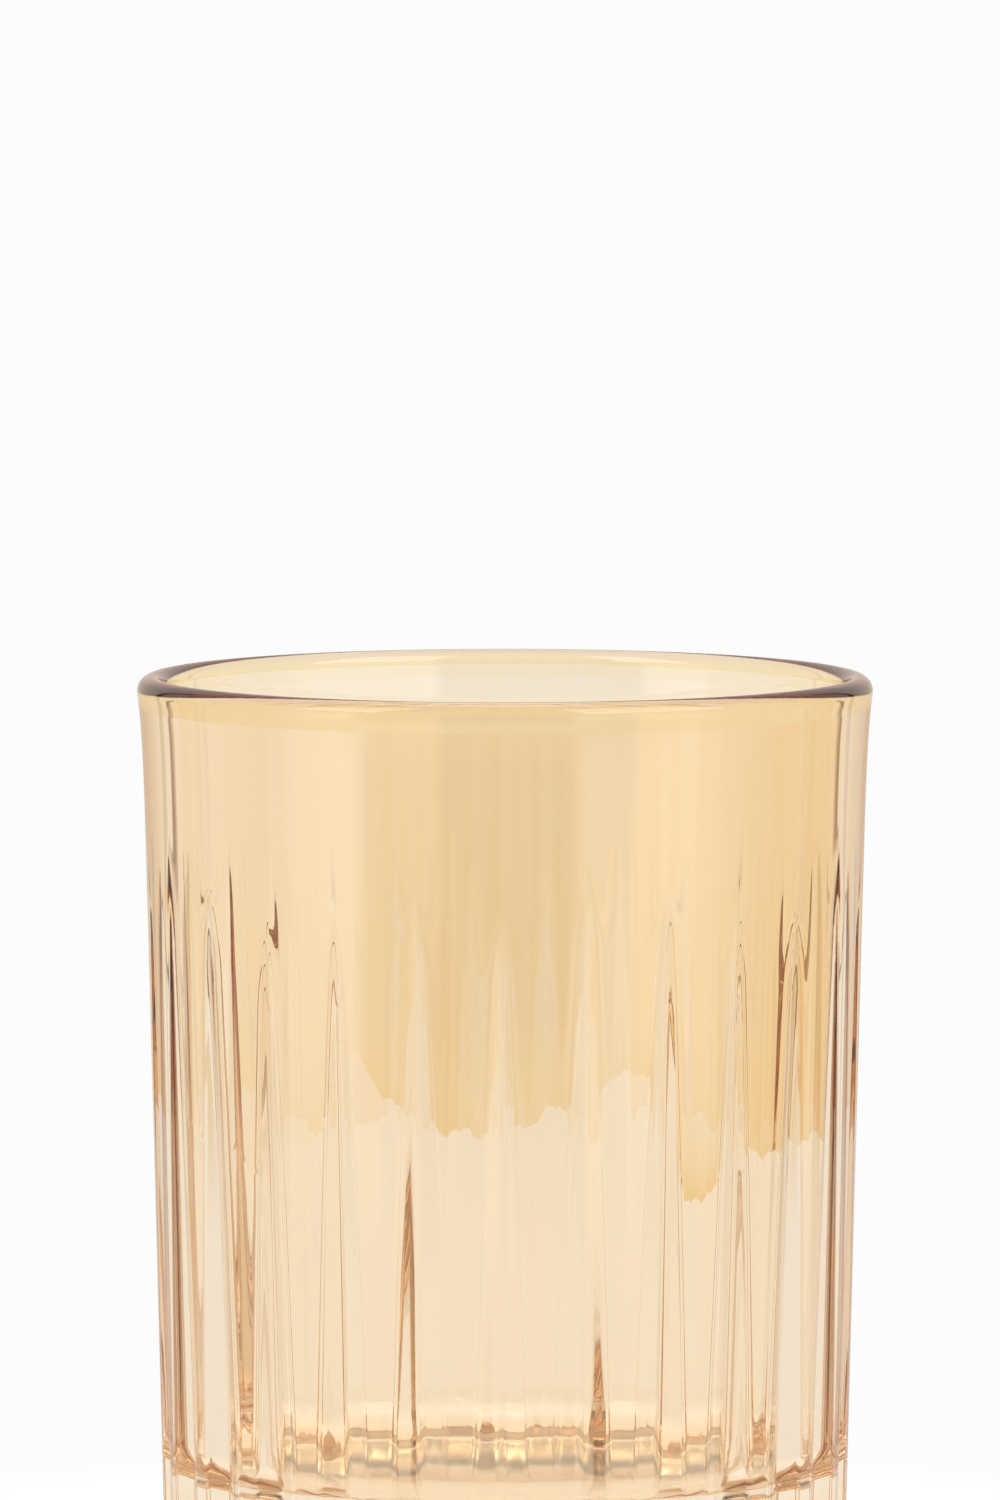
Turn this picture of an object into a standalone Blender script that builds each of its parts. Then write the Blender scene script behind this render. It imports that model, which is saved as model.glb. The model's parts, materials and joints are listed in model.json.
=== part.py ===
"""Overlay glass vase with long cut flutes.

Five pieces of glass that are fused hot, one on the other, in the real vase. Each is its own
closed solid here, and a fused joint is a narrow gap. Metres, +Z up, the origin is at the
centre of the foot, and the front of the vase faces -Y.
"""
import math

import bmesh
import bpy
from mathutils import Matrix

# Driving dimensions of the vase
HEIGHT = 0.140
LIP_RADIUS = 0.0550
WALL = 0.0044
FLOOR_HEIGHT = 0.0200
FUSED_GAP = 0.0003

# Outside profile: a cone, with a flare that dies away below the lip
BODY_RADIUS = 0.05435
TAPER = 0.0235
FLARE_DEPTH = 0.0025
FLARE_LENGTH = 0.0060
FLARE_LEVELS = (0.0095, 0.0190)

# The layers of the wall, from outside to inside
OVERLAY_THICKNESS = 0.0003
CASING_THICKNESS = 0.0020
RIM_HEIGHT = 0.0045
LIP_STEPS = 6

# Cut flutes: wide V cuts, given as pairs of height and depth, that deepen towards the foot
FLUTES = 27
FIRST_FLUTE_DEG = -91.2
FLUTE_PROFILE = ((0.1150, 0), (0.1070, 0.00052), (0.0800, 0.00100), (0, 0.00155))
FLUTE_HALF_ANGLE = math.radians(67)
CUTTER_CLEARANCE = 0.0005
CUTTER_MARGIN = 0.0020

# How far below the lip each tongue of the overlay ends, in millimetres, anticlockwise from the
# first flute; it was dipped a little aslant, so the far side ends lower
TONGUE_ENDS_MM = (
    60, 54, 73, 67, 66, 65, 63, 68, 67,
    72, 73, 71, 75, 74, 74, 73, 72, 68,
    69, 66, 65, 64, 65, 68, 65, 55, 62,
)
TONGUE_WAVE = 0.0008
COLUMNS_PER_TONGUE = 6

# Foot
FOOT_CHAMFER = 0.0015
HOLLOW_RADIUS = 0.0220
HOLLOW_DEPTH = 0.0015
HOLLOW_STEPS = 3
FLOOR_FILLET = 0.0060
FILLET_STEPS = 3

STEPS_PER_FLUTE = 3
TURNED_STEPS = FLUTES * STEPS_PER_FLUTE
MERGE = 0.00001
PITCH = 2 * math.pi / FLUTES


def clear_scene():
    for item in list(bpy.data.objects):
        bpy.data.objects.remove(item, do_unlink=True)


def outer_radius(z):
    """The outside of the vase: a cone that flares to the lip radius."""
    depth = HEIGHT - z
    flare = LIP_RADIUS - BODY_RADIUS + TAPER * FLARE_DEPTH
    fade = math.exp(-max(depth - FLARE_DEPTH, 0) / FLARE_LENGTH)
    return BODY_RADIUS - TAPER * depth + flare * fade


def inner_radius(z):
    """The bore of the vase, one wall inside the outside profile."""
    return outer_radius(z) - WALL


def glass(name, color, roughness):
    material = bpy.data.materials.new(name)
    material.use_nodes = True
    shader = material.node_tree.nodes["Principled BSDF"]
    shader.inputs["Base Color"].default_value = (*color, 1)
    shader.inputs["Roughness"].default_value = roughness
    shader.inputs["Metallic"].default_value = 0
    shader.inputs["Transmission Weight"].default_value = 1
    shader.inputs["IOR"].default_value = 1.5
    return material


def new_object(name, mesh, material=None):
    item = bpy.data.objects.new(name, mesh)
    bpy.context.collection.objects.link(item)
    if material:
        mesh.materials.append(material)
    return item


def arc(centre, radius, start, end, steps):
    """Points (radius, z) along an arc, from one angle to the other, in degrees."""
    points = []
    for step in range(steps + 1):
        angle = math.radians(start + (end - start) * step / steps)
        points.append((centre[0] + radius * math.cos(angle), centre[1] + radius * math.sin(angle)))
    return points


def turned(name, profile, material, closed):
    """A profile of (radius, z) points, down its outer side, turned about Z."""
    mesh = bpy.data.meshes.new(name)
    edges = [(index, index + 1) for index in range(len(profile) - 1)]
    if closed:
        edges.append((len(profile) - 1, 0))
    mesh.from_pydata([(radius, 0, z) for radius, z in profile], edges, [])
    item = new_object(name, mesh, material)
    screw = item.modifiers.new("Turn", "SCREW")
    screw.axis = "Z"
    screw.angle = 2 * math.pi
    screw.steps = TURNED_STEPS
    screw.render_steps = TURNED_STEPS
    screw.use_merge_vertices = True
    screw.merge_threshold = MERGE
    screw.use_smooth_shade = True
    item.rotation_euler.z = math.radians(FIRST_FLUTE_DEG)
    return item


def rim_bead(material):
    """The lip wrap: a ring of glass with a fully rounded top."""
    joint = HEIGHT - RIM_HEIGHT
    rounding = WALL / 2
    centre = (LIP_RADIUS - rounding, HEIGHT - rounding)
    crown = arc(centre, rounding, 180, 0, LIP_STEPS)
    profile = crown + [(outer_radius(joint), joint), (inner_radius(joint), joint)]
    return turned("rim_bead", profile, material, closed=True)


def wall_levels(bottom, top):
    """Heights at which the curved outside profile needs a point, from the top down."""
    levels = [top]
    for depth in FLARE_LEVELS:
        levels.append(HEIGHT - depth)
    levels.append(bottom)
    return levels


def fluted_casing(material, cutters):
    """The outer gather: a tube down to the foot, with the flutes cut into it."""
    top = HEIGHT - RIM_HEIGHT - FUSED_GAP
    recess = OVERLAY_THICKNESS + FUSED_GAP
    levels = wall_levels(FOOT_CHAMFER, top)
    outside = [(outer_radius(z) - recess, z) for z in levels]
    foot = [(outer_radius(0) - recess - FOOT_CHAMFER, 0)]
    bore = [(casing_bore(z), z) for z in reversed(levels)]
    bore[0] = (casing_bore(0), 0)
    casing = turned("fluted_casing", outside + foot + bore, material, closed=True)
    cut(casing, cutters)
    return casing


def casing_bore(z):
    return outer_radius(z) - OVERLAY_THICKNESS - FUSED_GAP - CASING_THICKNESS


def inner_bubble(material):
    """The first gather: a thin cup that makes the bore and the floor."""
    top = HEIGHT - RIM_HEIGHT - FUSED_GAP
    corner_height = FLOOR_HEIGHT + FLOOR_FILLET
    corner = (inner_radius(corner_height) - FLOOR_FILLET, corner_height)
    floor = [(0, FLOOR_HEIGHT)] + arc(corner, FLOOR_FILLET, -90, 0, FILLET_STEPS)
    levels = wall_levels(corner_height, top)
    bore = [(inner_radius(z), z) for z in reversed(levels[:-1])]
    outside = [(casing_bore(z) - FUSED_GAP, z) for z in levels]
    thickness = casing_bore(corner_height) - FUSED_GAP - inner_radius(corner_height)
    underside = arc(corner, FLOOR_FILLET + thickness, 0, -90, FILLET_STEPS)[1:]
    profile = floor + bore + outside[:-1] + [(corner[0] + FLOOR_FILLET + thickness, corner_height)]
    profile += underside + [(0, FLOOR_HEIGHT - thickness)]
    return turned("inner_bubble", profile, material, closed=False)


def base_disc(material):
    """The heavy clear base inside the casing, with a polished hollow where the rod was cracked off."""
    corner_height = FLOOR_HEIGHT + FLOOR_FILLET
    bubble_wall = casing_bore(corner_height) - FUSED_GAP - inner_radius(corner_height)
    reach = FLOOR_FILLET + bubble_wall + FUSED_GAP
    corner = (inner_radius(corner_height) - FLOOR_FILLET, corner_height)
    seat = arc(corner, reach, -90, -20, FILLET_STEPS)
    edge_height = seat[-1][1]
    side = [(casing_bore(edge_height) - FUSED_GAP, edge_height), (casing_bore(0) - FUSED_GAP, 0)]
    dome_radius = (HOLLOW_RADIUS ** 2 + HOLLOW_DEPTH ** 2) / (2 * HOLLOW_DEPTH)
    spread = math.degrees(math.asin(HOLLOW_RADIUS / dome_radius))
    dome = (0, HOLLOW_DEPTH - dome_radius)
    hollow = arc(dome, dome_radius, 90 - spread, 90, HOLLOW_STEPS)[:-1]
    profile = [(0, seat[0][1])] + seat + side + hollow + [(0, HOLLOW_DEPTH)]
    return turned("base_disc", profile, material, closed=False)


def tongue_end(angle):
    """Height at which the overlay ends, at an angle in radians from the first flute."""
    turn = (angle / PITCH) % FLUTES
    tongue = int(turn)
    along = turn - tongue
    wave = TONGUE_WAVE * math.sin(2 * math.pi * (along * 1.5 + tongue * 0.37))
    return HEIGHT - TONGUE_ENDS_MM[tongue] / 1000 + wave


def amber_overlay(material, cutters):
    """The thin coloured skin, cut through by the flutes, so that it ends in ragged tongues."""
    mesh = bpy.data.meshes.new("amber_overlay")
    shell = bmesh.new()
    columns = FLUTES * COLUMNS_PER_TONGUE
    levels = wall_levels(0, HEIGHT - RIM_HEIGHT - FUSED_GAP)[:-1]
    rings = []
    for column in range(columns):
        angle = 2 * math.pi * column / columns
        heights = levels + [tongue_end(angle)]
        rings.append([polar(shell, outer_radius(z), angle, z) for z in heights])
    for column, ring in enumerate(rings):
        following = rings[(column + 1) % columns]
        for row in range(len(levels)):
            shell.faces.new((ring[row], ring[row + 1], following[row + 1], following[row]))
    shell.to_mesh(mesh)
    shell.free()
    mesh.shade_smooth()
    overlay = new_object("amber_overlay", mesh, material)
    overlay.rotation_euler.z = math.radians(FIRST_FLUTE_DEG)
    skin = overlay.modifiers.new("Skin", "SOLIDIFY")
    skin.thickness = OVERLAY_THICKNESS
    skin.offset = -1
    cut(overlay, cutters)
    return overlay


def polar(shell, radius, angle, z):
    return shell.verts.new((radius * math.cos(angle), radius * math.sin(angle), z))


def flute_section(shell, depth, z):
    """A triangle across one flute: the valley of the cut, and two corners outside the glass."""
    outside = outer_radius(z) + CUTTER_CLEARANCE
    valley = outer_radius(z) - depth
    half_width = (outside - valley) * math.tan(FLUTE_HALF_ANGLE)
    return [
        shell.verts.new((valley, 0, z)),
        shell.verts.new((outside, -half_width, z)),
        shell.verts.new((outside, half_width, z)),
    ]


def flute_cutters():
    """One long V-shaped wedge for each flute, shallow at the top and deepest at the foot."""
    mesh = bpy.data.meshes.new("flute_cutters")
    shell = bmesh.new()
    through_foot = (-CUTTER_MARGIN, FLUTE_PROFILE[-1][1])
    for flute in range(FLUTES):
        first = len(shell.verts)
        profile = FLUTE_PROFILE[:-1] + (through_foot,)
        sections = [flute_section(shell, depth, z) for z, depth in profile]
        shell.faces.new(sections[0])
        shell.faces.new(reversed(sections[-1]))
        for upper, lower in zip(sections, sections[1:]):
            for side in range(3):
                after = (side + 1) % 3
                shell.faces.new((upper[after], upper[side], lower[side], lower[after]))
        shell.verts.ensure_lookup_table()
        turn = Matrix.Rotation(flute * PITCH, 4, "Z")
        bmesh.ops.transform(shell, matrix=turn, verts=shell.verts[first:])
    bmesh.ops.recalc_face_normals(shell, faces=shell.faces)
    shell.to_mesh(mesh)
    shell.free()
    cutters = new_object("flute_cutters", mesh)
    cutters.rotation_euler.z = math.radians(FIRST_FLUTE_DEG)
    cutters.hide_render = True
    cutters.display_type = "WIRE"
    return cutters


def cut(item, cutters):
    boolean = item.modifiers.new("Flutes", "BOOLEAN")
    boolean.operation = "DIFFERENCE"
    boolean.solver = "EXACT"
    boolean.object = cutters


def main():
    clear_scene()
    champagne = glass("champagne_glass", (0.96, 0.85, 0.70), 0.02)
    first_gather = glass("first_gather_glass", (0.97, 0.88, 0.76), 0.02)
    amber = glass("amber_glass", (0.84, 0.56, 0.26), 0.03)
    smoky = glass("smoky_glass", (0.74, 0.66, 0.62), 0.02)
    clear = glass("clear_base_glass", (0.95, 0.87, 0.76), 0.02)
    cutters = flute_cutters()
    rim_bead(smoky)
    fluted_casing(champagne, cutters)
    amber_overlay(amber, cutters)
    inner_bubble(first_gather)
    base_disc(clear)


main()
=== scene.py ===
"""The looks of the fluted overlay glass vase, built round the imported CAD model.

Every piece is a closed solid of glass. Where two pieces are fused, the faces let light straight
through, unbent, as it goes in one body of glass. They are clear, but for the side of the base
disc, which tints it slightly. All other faces bend and tint light. Metres, +Z up, the front
faces -Y.
"""
import json
import math

import bmesh
import bpy
import numpy as np
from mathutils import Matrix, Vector


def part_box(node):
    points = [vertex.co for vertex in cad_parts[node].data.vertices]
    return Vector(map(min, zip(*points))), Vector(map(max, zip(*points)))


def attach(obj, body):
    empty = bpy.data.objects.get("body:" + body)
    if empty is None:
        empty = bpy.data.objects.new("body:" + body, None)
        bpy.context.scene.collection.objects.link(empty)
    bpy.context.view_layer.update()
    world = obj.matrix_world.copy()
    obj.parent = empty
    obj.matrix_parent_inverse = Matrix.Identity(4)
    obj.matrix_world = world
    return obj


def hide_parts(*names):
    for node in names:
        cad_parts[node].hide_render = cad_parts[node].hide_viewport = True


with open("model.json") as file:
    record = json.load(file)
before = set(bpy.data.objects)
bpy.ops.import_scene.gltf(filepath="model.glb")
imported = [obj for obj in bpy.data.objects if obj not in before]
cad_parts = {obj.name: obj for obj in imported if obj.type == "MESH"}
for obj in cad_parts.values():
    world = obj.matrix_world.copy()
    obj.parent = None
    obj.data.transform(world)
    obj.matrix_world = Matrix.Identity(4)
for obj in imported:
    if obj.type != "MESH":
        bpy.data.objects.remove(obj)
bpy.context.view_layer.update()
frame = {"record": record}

# ---------------------------------------------------------------- sizes, from the frame
RIM_LOW, RIM_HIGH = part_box("rim_bead")
HEIGHT = RIM_HIGH[2]
RIM_JOINT = RIM_LOW[2]
LIP_RADIUS = (RIM_HIGH[0] - RIM_LOW[0]) / 2
# The record's second opening starts this far above the inner floor
OPENING_CLEARANCE = 0.0005
FLOOR = frame["record"]["physics"]["openings"][1]["box_m"][0][2] - OPENING_CLEARANCE

# The outside profile and the layers of the wall, as in the CAD
WALL = 0.0044
BODY_DROP = 0.00065
TAPER = 0.0235
FLARE_DEPTH = 0.0025
FLARE_LENGTH = 0.0060
CASING = 0.0026
OVERLAY = 0.00006
FLOOR_FILLET = 0.0060
HOLLOW_RADIUS = 0.022
HOLLOW_DEPTH = 0.0015

# Flutes: wide V cuts with softened edges, which grow wider and deeper towards the foot
FLUTES = 27
PITCH = 2 * math.pi / FLUTES
FIRST_FLUTE = math.radians(-90.6)
FLANK_SLOPE = 0.465
WIDEST_DROP = 0.083
WIDEST_HALF_WIDTH = 0.00355
GROWTH = 0.68
GROWTH_BELOW_WIDEST = 0.4
LEAST_HALF_WIDTH = 0.00030
RUN_IN = 0.015
EDGE_SOFTNESS = 0.00050
VALLEY_SOFTNESS = 0.00020
LEAST_CLEARED_SHARE = 0.04
CLEARED_SHARE = 0.95
CLEARING_DROP = 0.011
REACH = 1.35
# Across a flute, in shares of the cleared half width, of the rest of the flank, and beyond it
CLEARED_STATIONS = (0.0, 0.12, 0.32, 0.58, 0.82, 1.0)
FLANK_STATIONS = (0.3, 0.6, 0.85, 1.0)
BEYOND_STATIONS = (0.33, 0.66, 1.0)
PANEL_STATIONS = 13

# Top of each flute and the height where it has cut the overlay through, millimetres below the
# lip, anticlockwise from the first flute
FLUTE_TIPS_MM = (
    27, 21, 24, 27, 30, 20, 26, 23, 25, 28, 24, 27, 22, 26,
    29, 25, 23, 27, 24, 28, 22, 26, 21, 26, 31, 28, 24,
)
CUT_THROUGH_MM = (
    48, 38, 36, 38, 42, 34, 40, 38, 40, 42, 39, 41, 37, 40,
    43, 40, 38, 41, 39, 42, 38, 40, 37, 40, 44, 42, 38,
)

# Lower edge of each tongue of the overlay, left and right end, millimetres below the lip,
# anticlockwise from the first flute
TONGUES_MM = (
    (61, 59), (55, 54), (74, 72), (67, 68), (66, 66), (67, 63), (65, 61), (70, 66), (66, 68),
    (71, 74), (75, 71), (72, 70), (77, 73), (73, 75), (76, 72), (72, 75), (74, 70), (69, 66),
    (71, 67), (64, 68), (67, 62), (62, 65), (64, 66), (67, 70), (66, 64), (52, 59), (62, 63),
)

# Waves along the ragged edge: size in millimetres, ripples, and shift from tongue to tongue
RAGGED_WAVES_MM = ((0.35, 19, 2.1), (0.25, 43, 5.3), (0.8, 7.3, 1.7))

# Rows of the wall mesh between its key heights
ROWS_BAND, ROWS_RUN_IN, ROWS_TONGUE, ROWS_LOWER, ROWS_FOOT = 8, 12, 18, 16, 4
FOOT_RADIUS = 0.0009
# Depth of cut at which no overlay is left
COAT_GROUND_AWAY = 0.00075
# The overlay pooled at the tongues' ends: how much more of it there is, and over what height
POOLING = [0.25] * FLUTES
POOLING[2] = 2.0
POOLING[25] = 0.5
POOL_LENGTH = 0.004


def outer_radius(z):
    """The outside of the vase: a cone that flares to the lip radius."""
    depth = HEIGHT - z
    flare = BODY_DROP + TAPER * FLARE_DEPTH
    fade = np.exp(-np.maximum(depth - FLARE_DEPTH, 0) / FLARE_LENGTH)
    return LIP_RADIUS - BODY_DROP - TAPER * depth + flare * fade


def smoothstep(low, high, value):
    t = np.clip((value - low) / (high - low), 0, 1)
    return t * t * (3 - 2 * t)


# ---------------------------------------------------------------- node helpers
def socket_or_value(tree, target, value):
    if hasattr(value, "is_output"):
        tree.links.new(value, target)
    else:
        target.default_value = value


def math_node(tree, operation, first, second=0.0, third=0.0):
    node = tree.nodes.new("ShaderNodeMath")
    node.operation = operation
    for target, value in zip(node.inputs, (first, second, third)):
        socket_or_value(tree, target, value)
    return node.outputs[0]


def ramp(tree, value, low, high, to_low=0.0, to_high=1.0):
    node = tree.nodes.new("ShaderNodeMapRange")
    node.interpolation_type = "SMOOTHSTEP"
    inputs = (value, low, high, to_low, to_high)
    for name, number in zip(("Value", "From Min", "From Max", "To Min", "To Max"), inputs):
        socket_or_value(tree, node.inputs[name], number)
    return node.outputs["Result"]


def mix_color(tree, factor, first, second, blend="MIX"):
    node = tree.nodes.new("ShaderNodeMix")
    node.data_type = "RGBA"
    node.blend_type = blend
    socket_or_value(tree, node.inputs[0], factor)
    socket_or_value(tree, node.inputs[6], first)
    socket_or_value(tree, node.inputs[7], second)
    return node.outputs[2]


def new_tree(name):
    material = bpy.data.materials.new(name)
    material.use_nodes = True
    tree = material.node_tree
    tree.nodes.clear()
    output = tree.nodes.new("ShaderNodeOutputMaterial")
    return material, tree, output


def position(tree, kind="Object"):
    """The X, Y and Z of the point that is shaded."""
    coordinates = tree.nodes.new("ShaderNodeTexCoord")
    split = tree.nodes.new("ShaderNodeSeparateXYZ")
    tree.links.new(coordinates.outputs[kind], split.inputs[0])
    return split.outputs


def toward_direction(tree, axes, degrees):
    """How far a point lies in a compass direction."""
    angle = math.radians(degrees)
    reach = math_node(tree, "MULTIPLY", axes[0], math.cos(angle))
    return math_node(tree, "MULTIPLY_ADD", axes[1], math.sin(angle), reach)


def distance_from_axis(tree, axes):
    east = math_node(tree, "POWER", axes[0], 2.0)
    north = math_node(tree, "POWER", axes[1], 2.0)
    return math_node(tree, "SQRT", math_node(tree, "ADD", east, north))


# ---------------------------------------------------------------- materials
IOR = 1.5
# Keeps the path through the glass finite where light grazes the surface
LEAST_COSINE = 0.20
# Layer Weight's facing value at the angle where all light is turned back, and its softness
CRITICAL_FACING = 1 - math.sqrt(1 - 1 / IOR ** 2)
CRITICAL_SOFTNESS = 0.02
# Facing values between which the painted edge-on shade sets in
EDGE_SHADE_STARTS, EDGE_SHADE_FULL = 0.62, 0.92
# The deeper colour of the solid glass fades in between these distances from the floor
THICK_ABOVE, THICK_BELOW = 0.0005, 0.0015


def streaks(tree, around, along, detail):
    """Noise drawn out along the vase's height: bands and streaks in the colour."""
    axes = position(tree)
    angle = math_node(tree, "ARCTAN2", axes[1], axes[0])
    join = tree.nodes.new("ShaderNodeCombineXYZ")
    across = math_node(tree, "COSINE", angle), math_node(tree, "SINE", angle)
    for target, value in zip(join.inputs, across):
        tree.links.new(math_node(tree, "MULTIPLY", value, around), target)
    tree.links.new(math_node(tree, "MULTIPLY", axes[2], along), join.inputs[2])
    noise = tree.nodes.new("ShaderNodeTexNoise")
    noise.inputs["Scale"].default_value = 1.0
    noise.inputs["Detail"].default_value = detail
    tree.links.new(join.outputs[0], noise.inputs["Vector"])
    return noise.outputs["Fac"]


def glass(
    name, pale, deep, density,
    roughness=0.0, edge_shade=(1, 1, 1), turned_back=0.35, reflection_shade=(0.95, 0.92, 0.90), thick=None,
):
    """Clear glass whose tint runs from pale to deep, with painted shade over it where it is seen
    edge on.

    The tint stands for absorption in the glass behind the surface. Light that meets the surface
    aslant from inside crosses more of the colour, so the tint is raised to the length of that
    path. turned_back is how much of that extra length counts where all light is turned back, and
    reflection_shade is a colour of painted shade laid over the light turned back there.
    edge_shade is the colour of painted shade where the glass is seen edge on, partly the longer
    path through the glass there and partly a painted reflection of the dark room. Below the
    vase's floor the glass is solid, and thick is the deeper colour that it has there.
    """
    material, tree, output = new_tree(name)
    shader = tree.nodes.new("ShaderNodeBsdfGlass")
    shader.inputs["IOR"].default_value = IOR
    shader.inputs["Roughness"].default_value = roughness
    weight = tree.nodes.new("ShaderNodeLayerWeight")
    weight.inputs["Blend"].default_value = 0.5
    facing = weight.outputs["Facing"]
    inside = tree.nodes.new("ShaderNodeNewGeometry").outputs["Backfacing"]
    not_yet, wholly = CRITICAL_FACING - CRITICAL_SOFTNESS, CRITICAL_FACING + CRITICAL_SOFTNESS
    turned = ramp(tree, facing, not_yet, wholly)
    turned = math_node(tree, "MULTIPLY", turned, inside)
    steepness = math_node(tree, "SUBTRACT", 1.0 + LEAST_COSINE, facing)
    crossing = math_node(tree, "DIVIDE", 1.0 + LEAST_COSINE, steepness)
    times = math_node(tree, "MULTIPLY_ADD", turned, turned_back - 1.0, 1.0)
    longer = math_node(tree, "MULTIPLY_ADD", crossing, times, -1.0)
    path = math_node(tree, "MULTIPLY_ADD", longer, inside, 1.0)
    absorbed = tree.nodes.new("ShaderNodeGamma")
    tint = mix_color(tree, density(tree), (*pale, 1), (*deep, 1))
    tree.links.new(tint, absorbed.inputs["Color"])
    tree.links.new(path, absorbed.inputs["Gamma"])
    # Painted shade where the glass is seen edge on, partly the longer path through it, partly a
    # painted reflection of the dark room
    painted_edge_shade = mix_color(tree, ramp(tree, facing, EDGE_SHADE_STARTS, EDGE_SHADE_FULL), (1, 1, 1, 1), (*edge_shade, 1))
    # Painted shade laid on the light turned back inside the glass, standing in for the dark room
    # it reflects
    painted_reflection_shade = mix_color(tree, turned, (1, 1, 1, 1), (*reflection_shade, 1))
    color = mix_color(tree, 1.0, absorbed.outputs[0], painted_edge_shade, "MULTIPLY")
    color = mix_color(tree, 1.0, color, painted_reflection_shade, "MULTIPLY")
    if thick is not None:
        solid = ramp(tree, position(tree)[2], FLOOR + THICK_ABOVE, FLOOR - THICK_BELOW)
        deeper = mix_color(tree, solid, (1, 1, 1, 1), (*thick, 1))
        color = mix_color(tree, 1.0, color, deeper, "MULTIPLY")
    tree.links.new(color, shader.inputs["Color"])
    tree.links.new(shader.outputs[0], output.inputs["Surface"])
    return material


def fused_joint(name, tint):
    """A joint inside the glass: light goes straight on through it."""
    material, tree, output = new_tree(name)
    shader = tree.nodes.new("ShaderNodeBsdfTransparent")
    shader.inputs["Color"].default_value = (*tint, 1)
    tree.links.new(shader.outputs[0], output.inputs["Surface"])
    return material


# Strips where the overlay ran thin: direction round the vase, half width and softness in degrees,
# and the share of the overlay that is missing there; a negative share is extra overlay
THIN_STRIPS = (
    (-121, 7, 3, 0.65), (-63, 13, 3, 0.35), (-150, 9, 5, 1.0), (-135, 6, 4, 0.55),
    (-140, 25, 15, 0.15), (-28, 20, 12, -0.28), (-17, 4, 3, 0.90), (90, 60, 30, 0.42),
)
# Share of the deepest amber where the coat is of its usual depth
DENSITY_SCALE = 0.49
# Broad bands and fine streaks: how many go round, how many go along, detail and strength
BANDS, BAND_STRENGTH, LEAST_STREAK = (5.0, 3.0, 2.0), 0.7, 0.22
FINE_STREAKS, FINE_STRENGTH = (22.0, 6.0, 1.0), 0.8
# The overlay ran down while hot: two heights, and how thick it is at and beyond each
RUN_TOP, RUN_BOTTOM, RUN_THIN, RUN_THICK = 0.125, 0.085, 0.90, 1.15
# The same for the body's glass, which is nearly even
BODY_BANDS, BODY_STRENGTH, LEAST_BODY = (4.0, 2.0, 2.0), 0.8, 0.1
# Where the lip wrap turns from amber to brown, below the top, in shares of the wall
LIP_AMBER, LIP_BROWN = 0.32, 0.14


def overlay_density(tree):
    """How much overlay is left on the wall: thicker downwards, thin in strips, and streaked."""
    coat = tree.nodes.new("ShaderNodeAttribute")
    coat.attribute_name = "coat"
    axes = position(tree)
    bands, fine = streaks(tree, *BANDS), streaks(tree, *FINE_STREAKS)
    streak = math_node(tree, "MULTIPLY_ADD", bands, BAND_STRENGTH, LEAST_STREAK)
    streak = math_node(tree, "MULTIPLY_ADD", fine, FINE_STRENGTH, streak)
    run = ramp(tree, axes[2], RUN_TOP, RUN_BOTTOM, RUN_THIN, RUN_THICK)
    density = math_node(tree, "MULTIPLY", coat.outputs["Fac"], streak)
    density = math_node(tree, "MULTIPLY", density, run)
    flat = distance_from_axis(tree, axes)
    for direction, half_width, softness, missing in THIN_STRIPS:
        toward = math_node(tree, "DIVIDE", toward_direction(tree, axes, direction), flat)
        outer = math.cos(math.radians(half_width + softness))
        inner = math.cos(math.radians(half_width))
        keep = ramp(tree, toward, outer, inner, 1.0, 1.0 - missing)
        density = math_node(tree, "MULTIPLY", density, keep)
    return math_node(tree, "MULTIPLY", density, DENSITY_SCALE)


def body_density(tree):
    return math_node(tree, "MULTIPLY_ADD", streaks(tree, *BODY_BANDS), BODY_STRENGTH, LEAST_BODY)


def rim_density(tree):
    """The lip wrap is brown round its crown and amber below, like the overlay."""
    axes = position(tree)
    return ramp(tree, axes[2], HEIGHT - LIP_AMBER * WALL, HEIGHT - LIP_BROWN * WALL)


PALE = (0.989, 0.942, 0.862)
CHAMPAGNE_DEEP = (0.982, 0.928, 0.848)
JOINT = fused_joint("fused_joint", (1, 1, 1))
THICK_JOINT = fused_joint("thick_joint", (0.992, 0.980, 0.960))
# Colour of the painted shade where the glass is seen edge on, partly a longer path in it, partly
# a painted reflection of the dark room
EDGE_SHADE = (0.83, 0.79, 0.79)
# The colours laid on light turned back inside each glass below are painted shade
AMBER = glass(
    "amber_overlay_glass", PALE, (0.940, 0.756, 0.467), overlay_density,
    edge_shade=EDGE_SHADE, turned_back=1.2, reflection_shade=(0.83, 0.67, 0.52),
)
CHAMPAGNE = glass(
    "champagne_casing_glass", PALE, CHAMPAGNE_DEEP, body_density,
    edge_shade=EDGE_SHADE, reflection_shade=(0.93, 0.885, 0.86), thick=(0.985, 0.955, 0.91),
)
BUBBLE = glass("champagne_bubble_glass", PALE, CHAMPAGNE_DEEP, body_density)
SMOKY = glass(
    "smoky_rim_glass", (0.966, 0.880, 0.705), (0.92, 0.85, 0.79), rim_density,
    edge_shade=(0.95, 0.89, 0.85), reflection_shade=(0.95, 0.86, 0.79),
)
BASE = glass(
    "clear_base_glass", (0.998, 0.980, 0.955), (0.994, 0.965, 0.925), body_density,
    roughness=0.16,
)


# ---------------------------------------------------------------- mesh building
SAME_POINT = 1e-7


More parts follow.
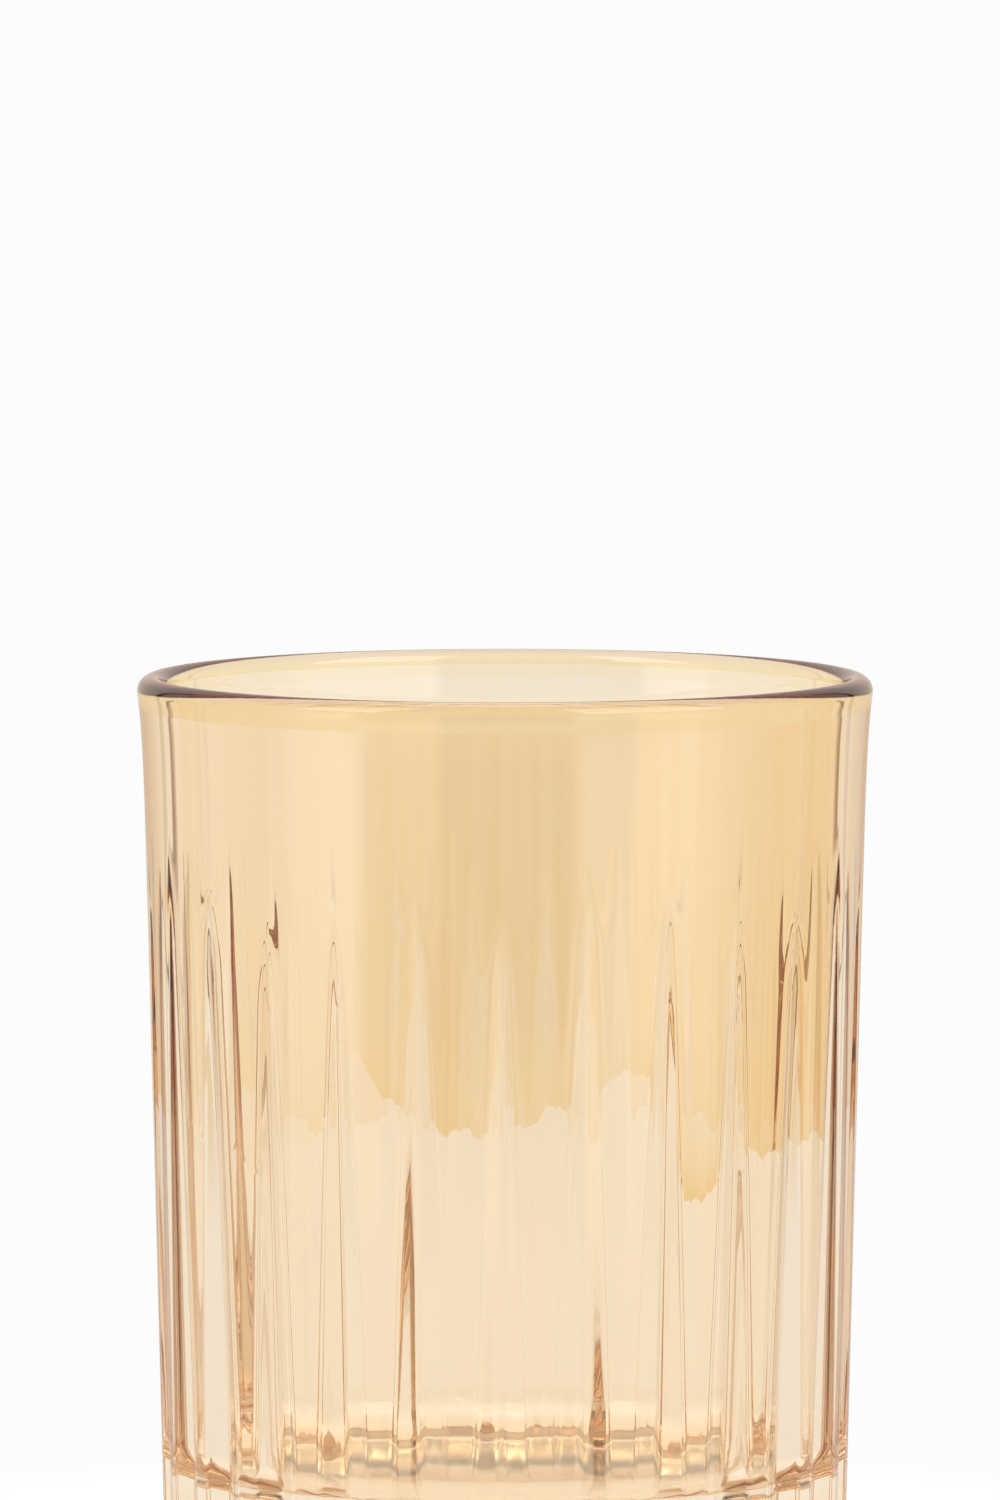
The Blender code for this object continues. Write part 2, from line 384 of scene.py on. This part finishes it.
class Solid:
    """Collects the faces of one closed piece.

    Slot 0 is the piece's own glass, slot 1 a clear fused joint, and slot 2 an extra material.
    """

    def __init__(self, name):
        self.name = name
        self.points = []
        self.faces = []
        self.slots = []

    def add_points(self, points):
        first = len(self.points)
        self.points.extend(points)
        return first

    def face(self, corners, slot=0):
        kept = list(dict.fromkeys(corners))
        if len(kept) > 2:
            self.faces.append(kept)
            self.slots.append(slot)

    def build(self, material, sharp=35, coat=None, extra=None):
        mesh = bpy.data.meshes.new(self.name)
        mesh.from_pydata([tuple(point) for point in self.points], [], self.faces)
        if coat is not None:
            mesh.attributes.new("coat", "FLOAT", "POINT").data.foreach_set("value", coat)
        mesh.materials.append(material)
        mesh.materials.append(JOINT)
        if extra is not None:
            mesh.materials.append(extra)
        mesh.polygons.foreach_set("material_index", self.slots)
        mesh.shade_smooth()
        tidy = bmesh.new()
        tidy.from_mesh(mesh)
        bmesh.ops.remove_doubles(tidy, verts=tidy.verts, dist=SAME_POINT)
        loose = [vertex for vertex in tidy.verts if not vertex.link_faces]
        bmesh.ops.delete(tidy, geom=loose, context="VERTS")
        tidy.to_mesh(mesh)
        tidy.free()
        mesh.set_sharp_from_angle(angle=math.radians(sharp))
        piece = bpy.data.objects.new(self.name, mesh)
        bpy.context.collection.objects.link(piece)
        return piece


def around(radius, angle, z):
    return (radius * math.cos(angle), radius * math.sin(angle), z)


def lathe(name, profile, columns, slots):
    """Turns a profile of (radius, z), down its outer side. slots has a slot for each stretch."""
    solid = Solid(name)
    for column in range(columns):
        angle = 2 * math.pi * column / columns
        solid.add_points([around(radius, angle, z) for radius, z in profile])
    count = len(profile)
    closed = profile[0][0] > 0
    for column in range(columns):
        here = column * count
        there = (column + 1) % columns * count
        for row in range(count if closed else count - 1):
            after = (row + 1) % count
            solid.face((here + row, here + after, there + after, there + row), slots[row])
    return solid


def arc(centre, radius, start, end, steps):
    """Points (radius, z) along an arc, from one angle to the other, in degrees."""
    angles = np.radians(np.linspace(start, end, steps + 1))
    return [(centre[0] + radius * math.cos(a), centre[1] + radius * math.sin(a)) for a in angles]


# ---------------------------------------------------------------- the fluted wall
def below_lip(millimetres):
    return HEIGHT - millimetres / 1000


def half_width(z, tip):
    """Half width of a flute at a height."""
    drop = np.maximum(tip - z, 0)
    slowed = WIDEST_DROP + GROWTH_BELOW_WIDEST * (drop - WIDEST_DROP)
    drop = np.where(drop > WIDEST_DROP, slowed, drop)
    grown = WIDEST_HALF_WIDTH * (drop / WIDEST_DROP) ** GROWTH
    return np.maximum(grown, LEAST_HALF_WIDTH)


def cleared_share(z, cut_through):
    """Share of the half width where the flute has cut the overlay away."""
    opened = smoothstep(0, CLEARING_DROP, cut_through - z)
    return LEAST_CLEARED_SHARE + (CLEARED_SHARE - LEAST_CLEARED_SHARE) * opened


def cut_depth(offset, z, tip):
    """How deep a flute is at a distance from its valley: a V with a rounded valley and edges."""
    width = half_width(z, tip)
    across = np.sqrt(offset ** 2 + VALLEY_SOFTNESS ** 2) - VALLEY_SOFTNESS
    inside = width - across
    soft = np.minimum(EDGE_SOFTNESS, 0.5 * width)
    depth = FLANK_SLOPE * (inside + np.sqrt(inside ** 2 + soft ** 2)) / 2
    return np.where(z < tip, depth, 0) * smoothstep(0, RUN_IN, tip - z)


def tongue_edge(flute, along):
    """Height of the overlay's ragged lower edge on the panel that follows a flute."""
    left, right = TONGUES_MM[flute]
    level = left + (right - left) * smoothstep(0.15, 0.85, along)
    ragged = sum(
        size * np.sin(along * ripples + flute * shift) for size, ripples, shift in RAGGED_WAVES_MM
    )
    return HEIGHT - (level + ragged) / 1000


def groove_stations():
    """Stations on one side of a flute, from its valley out: zone and share of that zone."""
    stations = [("cleared", share) for share in CLEARED_STATIONS]
    stations += [("flank", share) for share in FLANK_STATIONS]
    stations += [("beyond", share) for share in BEYOND_STATIONS]
    return stations


def wall_columns():
    """For each mesh column: its flute, its zone, its share of the zone and its side."""
    columns = []
    stations = groove_stations()
    for flute in range(FLUTES):
        for zone, share in reversed(stations[1:]):
            columns.append((flute, zone, share, -1))
        for zone, share in stations:
            columns.append((flute, zone, share, 1))
        for step in range(1, PANEL_STATIONS + 1):
            columns.append((flute, "panel", step / (PANEL_STATIONS + 1), 0))
    return columns


def station_offset(zone, share, z, flute):
    """Distance of a station from its flute's valley, as a length along the wall."""
    width = half_width(z, below_lip(FLUTE_TIPS_MM[flute]))
    cleared = cleared_share(z, below_lip(CUT_THROUGH_MM[flute]))
    if zone == "cleared":
        return width * cleared * share
    if zone == "flank":
        return width * (cleared + (1 - cleared) * share)
    return width * (1 + (REACH - 1) * share)


def column_heights(flute, zone, share, side):
    """Key heights of a column: joint, flute tip, cut through, overlay's edge, foot."""
    following = (flute + 1) % FLUTES
    before = (flute - 1) % FLUTES
    tip = below_lip(FLUTE_TIPS_MM[flute])
    through = below_lip(CUT_THROUGH_MM[flute])
    if zone == "panel":
        tip = tip * (1 - share) + below_lip(FLUTE_TIPS_MM[following]) * share
        through = through * (1 - share) + below_lip(CUT_THROUGH_MM[following]) * share
        edge = float(tongue_edge(flute, share))
    else:
        distance = {"cleared": 0.5, "flank": 0.75, "beyond": 1.0}[zone] * share
        right = 0.5 + 0.5 * side * distance
        edge = tongue_edge(before, 1.0) * (1 - right) + tongue_edge(flute, 0.0) * right
    return RIM_JOINT, tip, through, edge, FOOT_RADIUS


def column_levels(keys):
    levels = []
    for high, low, rows in zip(keys, keys[1:], (ROWS_BAND, ROWS_RUN_IN, ROWS_TONGUE, ROWS_LOWER)):
        levels.extend(np.linspace(high, low, rows, endpoint=False))
    levels.append(keys[-1])
    return np.array(levels)


def column_angles(flute, zone, share, side, levels):
    """Angle of a column at each of its heights."""
    middle = FIRST_FLUTE + flute * PITCH
    radii = outer_radius(levels)
    if zone != "panel":
        return middle + side * station_offset(zone, share, levels, flute) / radii
    start = middle + station_offset("beyond", 1.0, levels, flute) / radii
    following = (flute + 1) % FLUTES
    end = middle + PITCH - station_offset("beyond", 1.0, levels, following) / radii
    return start + (end - start) * share


def wall_surface():
    """The whole outer surface, rows by columns, which cells the overlay covers, and its depth."""
    columns = wall_columns()
    surface = []
    coats = []
    for flute, zone, share, side in columns:
        levels = column_levels(column_heights(flute, zone, share, side))
        angles = column_angles(flute, zone, share, side, levels)
        radii = outer_radius(levels)
        cuts = np.zeros(len(levels))
        for near in (flute, flute + 1):
            offset = (angles - FIRST_FLUTE - near * PITCH) * radii
            cuts = cuts + cut_depth(offset, levels, below_lip(FLUTE_TIPS_MM[near % FLUTES]))
        radii = radii - cuts
        surface.append(np.stack([radii * np.cos(angles), radii * np.sin(angles), levels], axis=1))
        edge = column_heights(flute, zone, share, side)[3]
        pooled = 1 + POOLING[flute] * np.exp(-np.maximum(levels - edge, 0) / POOL_LENGTH)
        coats.append((1 - np.clip(cuts / COAT_GROUND_AWAY, 0, 1)) * pooled)
    cut_row = ROWS_BAND + ROWS_RUN_IN
    edge_row = cut_row + ROWS_TONGUE
    rows = len(surface[0]) - 1
    covered = np.zeros((rows, len(columns)), bool)
    for column, (flute, zone, share, side) in enumerate(columns):
        first_of_flank = zone == "cleared" and share == 1.0 and side == 1
        inside = zone == "cleared" and not first_of_flank
        covered[: cut_row if inside else edge_row, column] = True
    return np.array(surface).transpose(1, 0, 2), covered, np.array(coats).T


def offset_inward(points, distance):
    radii = np.hypot(points[..., 0], points[..., 1])
    shrink = (radii - distance) / radii
    moved = points.copy()
    moved[..., 0] *= shrink
    moved[..., 1] *= shrink
    return moved


def cell_corners(row, column, columns):
    after = (column + 1) % columns
    return (row, column), (row + 1, column), (row + 1, after), (row, after)


def cell_edges(row, column, covered):
    """Edges of a covered cell where its neighbour isn't covered, as pairs of corners."""
    rows, columns = covered.shape
    corners = cell_corners(row, column, columns)
    neighbours = (
        (row, (column - 1) % columns),
        (row + 1, column),
        (row, (column + 1) % columns),
        (row - 1, column),
    )
    for side, (near_row, near_column) in enumerate(neighbours):
        outside = not 0 <= near_row < rows
        if outside or not covered[near_row, near_column]:
            yield corners[side], corners[(side + 1) % 4], outside


def build_overlay(surface, covered, coats):
    """The amber skin: its outer face bends and tints light, the rest is fused to the casing."""
    solid = Solid("amber_overlay")
    rows, columns = covered.shape
    inner = offset_inward(surface, OVERLAY)
    flat = surface.reshape(-1, 3)
    solid.add_points(flat.tolist())
    deep = solid.add_points(inner.reshape(-1, 3).tolist())

    def index(corner):
        return corner[0] * columns + corner[1]

    for row in range(rows):
        for column in range(columns):
            if not covered[row, column]:
                continue
            corners = [index(corner) for corner in cell_corners(row, column, columns)]
            solid.face(corners)
            solid.face([deep + corner for corner in reversed(corners)], 1)
            for first, second, _ in cell_edges(row, column, covered):
                a, b = index(first), index(second)
                solid.face((b, a, deep + a, deep + b), 1)
    return solid.build(AMBER, coat=np.concatenate([coats.ravel(), coats.ravel()]))


# Heights where the casing's bore needs a row of its own, because the wall flares there
FLARE_LEVELS = (0.115, 0.121, 0.127, 0.131)


def casing_bore(z):
    return outer_radius(z) - CASING


def build_casing(surface, covered):
    """The outer gather: bare where it was cut or never covered, fused everywhere else."""
    solid = Solid("fluted_casing")
    rows, columns = covered.shape
    inner = offset_inward(surface, OVERLAY)
    solid.add_points(surface.reshape(-1, 3).tolist())
    deep = solid.add_points(inner.reshape(-1, 3).tolist())

    def index(corner):
        return corner[0] * columns + corner[1]

    for row in range(rows):
        for column in range(columns):
            corners = [index(corner) for corner in cell_corners(row, column, columns)]
            if not covered[row, column]:
                solid.face(corners)
                continue
            solid.face([deep + corner for corner in corners], 1)
            for first, second, outside in cell_edges(row, column, covered):
                if not outside:
                    a, b = index(first), index(second)
                    solid.face((a, b, deep + b, deep + a), 1)
    top = [deep + column for column in range(columns)]
    bottom = [rows * columns + column for column in range(columns)]
    close_casing(solid, surface, top, bottom)
    return solid.build(CHAMPAGNE)


def close_casing(solid, surface, top, bottom):
    """Adds the rounded foot edge, the ground foot ring, the fused bore and the fused top."""
    columns = len(top)
    angles = np.arctan2(surface[-1, :, 1], surface[-1, :, 0])
    radii = np.hypot(surface[-1, :, 0], surface[-1, :, 1])
    previous = bottom
    for turn in np.linspace(0, math.pi / 2, ROWS_FOOT + 1)[1:]:
        inset = FOOT_RADIUS * (1 - math.cos(turn))
        z = FOOT_RADIUS * (1 - math.sin(turn))
        ring = [around(radius - inset, angle, z) for radius, angle in zip(radii, angles)]
        first = solid.add_points(ring)
        current = [first + column for column in range(columns)]
        join_rings(solid, previous, current, 0)
        previous = current
    for number, z in enumerate((0, *FLARE_LEVELS, RIM_JOINT)):
        first = solid.add_points([around(float(casing_bore(z)), angle, z) for angle in angles])
        current = [first + column for column in range(columns)]
        join_rings(solid, previous, current, 0 if number == 0 else 1)
        previous = current
    join_rings(solid, previous, top, 1)


def join_rings(solid, upper, lower, slot):
    count = len(upper)
    for column in range(count):
        after = (column + 1) % count
        solid.face((upper[column], lower[column], lower[after], upper[after]), slot)


# ---------------------------------------------------------------- turned pieces
TURNED_COLUMNS = 1080
RIM_COLUMNS = 900
CROWN_STEPS = 64
CROWN_CLEARANCE = 0.0006
RIM_SIDE_ROWS = 4
FLARE_STARTS = 0.118
STRAIGHT_ROWS, FLARE_ROWS = 8, 7
FILLET_STEPS, UNDERSIDE_STEPS, HOLLOW_STEPS = 12, 6, 12


def inner_radius(z):
    """The bore of the vase, one wall inside the outside profile."""
    return float(outer_radius(z)) - WALL


def build_rim():
    """The lip wrap, fully rounded, fused to the wall underneath."""
    rounding = WALL / 2
    centre = (LIP_RADIUS - rounding, HEIGHT - rounding)
    crown = arc(centre, rounding, 180, 0, CROWN_STEPS)
    side_top = centre[1] - CROWN_CLEARANCE
    downwards = np.linspace(side_top, RIM_JOINT, RIM_SIDE_ROWS)
    upwards = np.linspace(RIM_JOINT, side_top, RIM_SIDE_ROWS)
    outside = [(float(outer_radius(z)), z) for z in downwards]
    bore = [(inner_radius(z), z) for z in upwards]
    profile = crown + outside + bore
    slots = [0] * len(profile)
    slots[len(crown) + len(outside) - 1] = 1
    for row in range(len(crown) + len(outside), len(profile)):
        slots[row] = 2
    return lathe("rim_bead", profile, RIM_COLUMNS, slots).build(SMOKY, extra=BUBBLE)


def build_bubble():
    """The first gather: the bore and the floor are its own faces, the rest is fused."""
    corner_height = FLOOR + FLOOR_FILLET
    corner = (inner_radius(corner_height) - FLOOR_FILLET, corner_height)
    thickness = WALL - CASING
    floor = [(0, FLOOR)] + arc(corner, FLOOR_FILLET, -90, 0, FILLET_STEPS)
    levels = list(np.linspace(corner_height, FLARE_STARTS, STRAIGHT_ROWS)[1:])
    levels += list(np.linspace(FLARE_STARTS, RIM_JOINT, FLARE_ROWS)[1:])
    bore = [(inner_radius(z), z) for z in levels]
    outside = [(float(casing_bore(z)), z) for z in reversed(levels)]
    underside = arc(corner, FLOOR_FILLET + thickness, 0, -90, UNDERSIDE_STEPS)
    profile = floor + bore + outside + underside + [(0, FLOOR - thickness)]
    slots = [0] * len(profile)
    for row in range(len(floor) + len(bore) - 1, len(profile)):
        slots[row] = 1
    return lathe("inner_bubble", profile, TURNED_COLUMNS, slots).build(BUBBLE)


def build_base():
    """The heavy base disc, fused to the wall and floor, with a hollow underneath."""
    corner_height = FLOOR + FLOOR_FILLET
    thickness = WALL - CASING
    corner = (inner_radius(corner_height) - FLOOR_FILLET, corner_height)
    seat = arc(corner, FLOOR_FILLET + thickness, -90, 0, UNDERSIDE_STEPS)
    side = [(float(casing_bore(0)), 0)]
    sphere = (HOLLOW_RADIUS ** 2 + HOLLOW_DEPTH ** 2) / (2 * HOLLOW_DEPTH)
    spread = math.degrees(math.asin(HOLLOW_RADIUS / sphere))
    hollow = arc((0, HOLLOW_DEPTH - sphere), sphere, 90 - spread, 90, HOLLOW_STEPS)[:-1]
    profile = [(0, seat[0][1])] + seat + side + hollow + [(0, HOLLOW_DEPTH)]
    slots = [1] * (len(seat) + 1) + [0] * (len(hollow) + 2)
    slots[len(seat)] = 2
    return lathe("base_disc", profile, TURNED_COLUMNS, slots).build(BASE, extra=THICK_JOINT)


surface, covered, coats = wall_surface()
PIECES = (
    (build_rim(), "rim_bead", "rim_glass"),
    (build_overlay(surface, covered, coats), "amber_overlay", "amber_glass"),
    (build_casing(surface, covered), "fluted_casing", "casing_glass"),
    (build_bubble(), "inner_bubble", "bubble_glass"),
    (build_base(), "base_disc", "base_glass"),
)
for piece, node, slot in PIECES:
    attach(piece, "root")
    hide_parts(node)

# ---------------------------------------------------------------- camera
CAMERA_DISTANCE = 1.5
RIM_ELEVATION = math.radians(4.35)
AIM_BELOW_LIP = 0.0113
AIM_SIDEWAYS = -0.00075
LENS = 241.5


def build_camera():
    camera = bpy.data.objects.new("camera", bpy.data.cameras.new("camera"))
    bpy.context.collection.objects.link(camera)
    camera.data.sensor_fit = "VERTICAL"
    camera.data.sensor_height = 36
    camera.data.lens = LENS
    camera.data.clip_start = 0.01
    camera.data.clip_end = 50
    height = HEIGHT + CAMERA_DISTANCE * math.tan(RIM_ELEVATION)
    camera.location = (AIM_SIDEWAYS, -CAMERA_DISTANCE, height)
    aim = Vector((AIM_SIDEWAYS, 0, HEIGHT - AIM_BELOW_LIP))
    camera.rotation_euler = (aim - camera.location).to_track_quat("-Z", "Y").to_euler()
    bpy.context.scene.camera = camera


# ---------------------------------------------------------------- studio
WHITE = 0.975
FLOOR_RADIUS = 0.70
# How softly a patch of the sky starts below and ends above, in sines of the elevation
SOFT_BELOW, SOFT_ABOVE = 0.05, 0.08
DARK_ROOM = (0.36, 0.35, 0.34)
BROWN_CARD = (0.26, 0.16, 0.10)
GOLD_CARD = (0.88, 0.76, 0.58)
# One wide grey card in front and four narrow ones behind the vase, then the softboxes in front.
# Each has its compass direction and half width in degrees, the lowest and highest sine of its
# elevation, its softness in degrees, and its colour, or a softbox's strength over white.
FLAGS = (
    (268, 60, -0.60, 0.60, 8, DARK_ROOM),
    (148, 2.0, -0.30, 0.50, 2.0, GOLD_CARD),
    (32, 2.0, -0.30, 0.50, 2.0, GOLD_CARD),
    (130.5, 1.0, -0.30, 0.50, 1.5, BROWN_CARD),
    (49.5, 1.0, -0.30, 0.50, 1.5, BROWN_CARD),
)
SOFTBOXES = (
    (208.5, 11, -0.30, 0.30, 4, 0.5),
    (320, 25, -0.30, 0.30, 4, 0.4),
    (212, 13, 0.45, 0.85, 3, 3.0),
    (322, 24, 0.45, 0.85, 3, 3.0),
)


def window(tree, axes, azimuth, half_width, low, high, softness):
    """1 inside a patch of the sky, by its compass direction and height, with soft edges."""
    # A little over 1, so that the distance from the axis is never 0 straight up
    flat = math_node(tree, "SUBTRACT", 1.0001, math_node(tree, "POWER", axes[2], 2.0))
    flat = math_node(tree, "SQRT", flat)
    toward = math_node(tree, "DIVIDE", toward_direction(tree, axes, azimuth), flat)
    outer = math.cos(math.radians(half_width + softness))
    inner = math.cos(math.radians(half_width))
    sideways = ramp(tree, toward, outer, inner)
    rise = ramp(tree, axes[2], low - SOFT_BELOW, low)
    fall = ramp(tree, axes[2], high, high + SOFT_ABOVE, 1.0, 0.0)
    patch = math_node(tree, "MULTIPLY", sideways, rise)
    return math_node(tree, "MULTIPLY", patch, fall)


def build_world():
    world = bpy.data.worlds.new("studio")
    bpy.context.scene.world = world
    world.use_nodes = True
    tree = world.node_tree
    tree.nodes.clear()
    axes = position(tree, "Generated")
    level = (WHITE, WHITE, WHITE, 1)
    for azimuth, half_width, low, high, softness, card in FLAGS:
        flag = window(tree, axes, azimuth, half_width, low, high, softness)
        level = mix_color(tree, flag, level, (*card, 1))
    for azimuth, half_width, low, high, softness, strength in SOFTBOXES:
        box = window(tree, axes, azimuth, half_width, low, high, softness)
        lift = WHITE + strength
        level = mix_color(tree, box, level, (lift, lift, lift, 1))
    background = tree.nodes.new("ShaderNodeBackground")
    output = tree.nodes.new("ShaderNodeOutputWorld")
    tree.links.new(level, background.inputs["Color"])
    tree.links.new(background.outputs[0], output.inputs["Surface"])


FLOOR_DROP = 0.0003
FLOOR_DIFFUSE = 0.10
FLOOR_GLOW = 1.0
# Colour of the painted pool of warm light on the floor under the vase
PAINTED_WARM_POOL = (1.0, 0.955, 0.89)
# Distances from the middle where the painted warm pool of light fades out, then the painted glow,
# and where the floor ends
WARM_POOL_INNER, WARM_POOL_OUTER = 0.050, 0.085
GLOW_INNER, GLOW_OUTER = 0.07, 0.16
EDGE_SHARE = 0.6


def build_floor():
    """A round pale floor with a painted pool of warm light glowing under the vase, which fades
    out.
    """
    mesh = bpy.data.meshes.new("floor")
    shell = bmesh.new()
    bmesh.ops.create_circle(shell, cap_ends=True, segments=128, radius=FLOOR_RADIUS)
    shell.to_mesh(mesh)
    shell.free()
    floor = bpy.data.objects.new("floor", mesh)
    floor.location.z = -FLOOR_DROP
    bpy.context.collection.objects.link(floor)
    material, tree, output = new_tree("pale_floor")
    axes = position(tree)
    reach = distance_from_axis(tree, axes)
    fade = ramp(tree, reach, GLOW_INNER, GLOW_OUTER)
    diffuse = tree.nodes.new("ShaderNodeBsdfDiffuse")
    diffuse.inputs["Color"].default_value = (FLOOR_DIFFUSE, FLOOR_DIFFUSE, FLOOR_DIFFUSE, 1)
    # Painted pool of light: the floor glows brighter and warm near the vase
    near = tree.nodes.new("ShaderNodeEmission")
    near.inputs["Strength"].default_value = FLOOR_GLOW
    warm_pool_fade = ramp(tree, reach, WARM_POOL_INNER, WARM_POOL_OUTER)
    tree.links.new(mix_color(tree, warm_pool_fade, (*PAINTED_WARM_POOL, 1), (1, 1, 1, 1)), near.inputs["Color"])
    lit = tree.nodes.new("ShaderNodeAddShader")
    tree.links.new(diffuse.outputs[0], lit.inputs[0])
    tree.links.new(near.outputs[0], lit.inputs[1])
    far = tree.nodes.new("ShaderNodeEmission")
    far.inputs["Strength"].default_value = WHITE
    mix = tree.nodes.new("ShaderNodeMixShader")
    tree.links.new(fade, mix.inputs[0])
    tree.links.new(lit.outputs[0], mix.inputs[1])
    tree.links.new(far.outputs[0], mix.inputs[2])
    clear = tree.nodes.new("ShaderNodeBsdfTransparent")
    blend = tree.nodes.new("ShaderNodeMixShader")
    edge = ramp(tree, reach, EDGE_SHARE * FLOOR_RADIUS, FLOOR_RADIUS)
    tree.links.new(edge, blend.inputs[0])
    tree.links.new(mix.outputs[0], blend.inputs[1])
    tree.links.new(clear.outputs[0], blend.inputs[2])
    tree.links.new(blend.outputs[0], output.inputs["Surface"])
    mesh.materials.append(material)


def set_up_light_paths():
    scene = bpy.context.scene
    scene.view_settings.view_transform = "Standard"
    scene.view_settings.look = "None"
    scene.cycles.max_bounces = 32
    scene.cycles.transmission_bounces = 32
    scene.cycles.glossy_bounces = 16
    scene.cycles.transparent_max_bounces = 64
    scene.cycles.caustics_refractive = True
    scene.cycles.caustics_reflective = True


build_camera()
build_world()
build_floor()
set_up_light_paths()
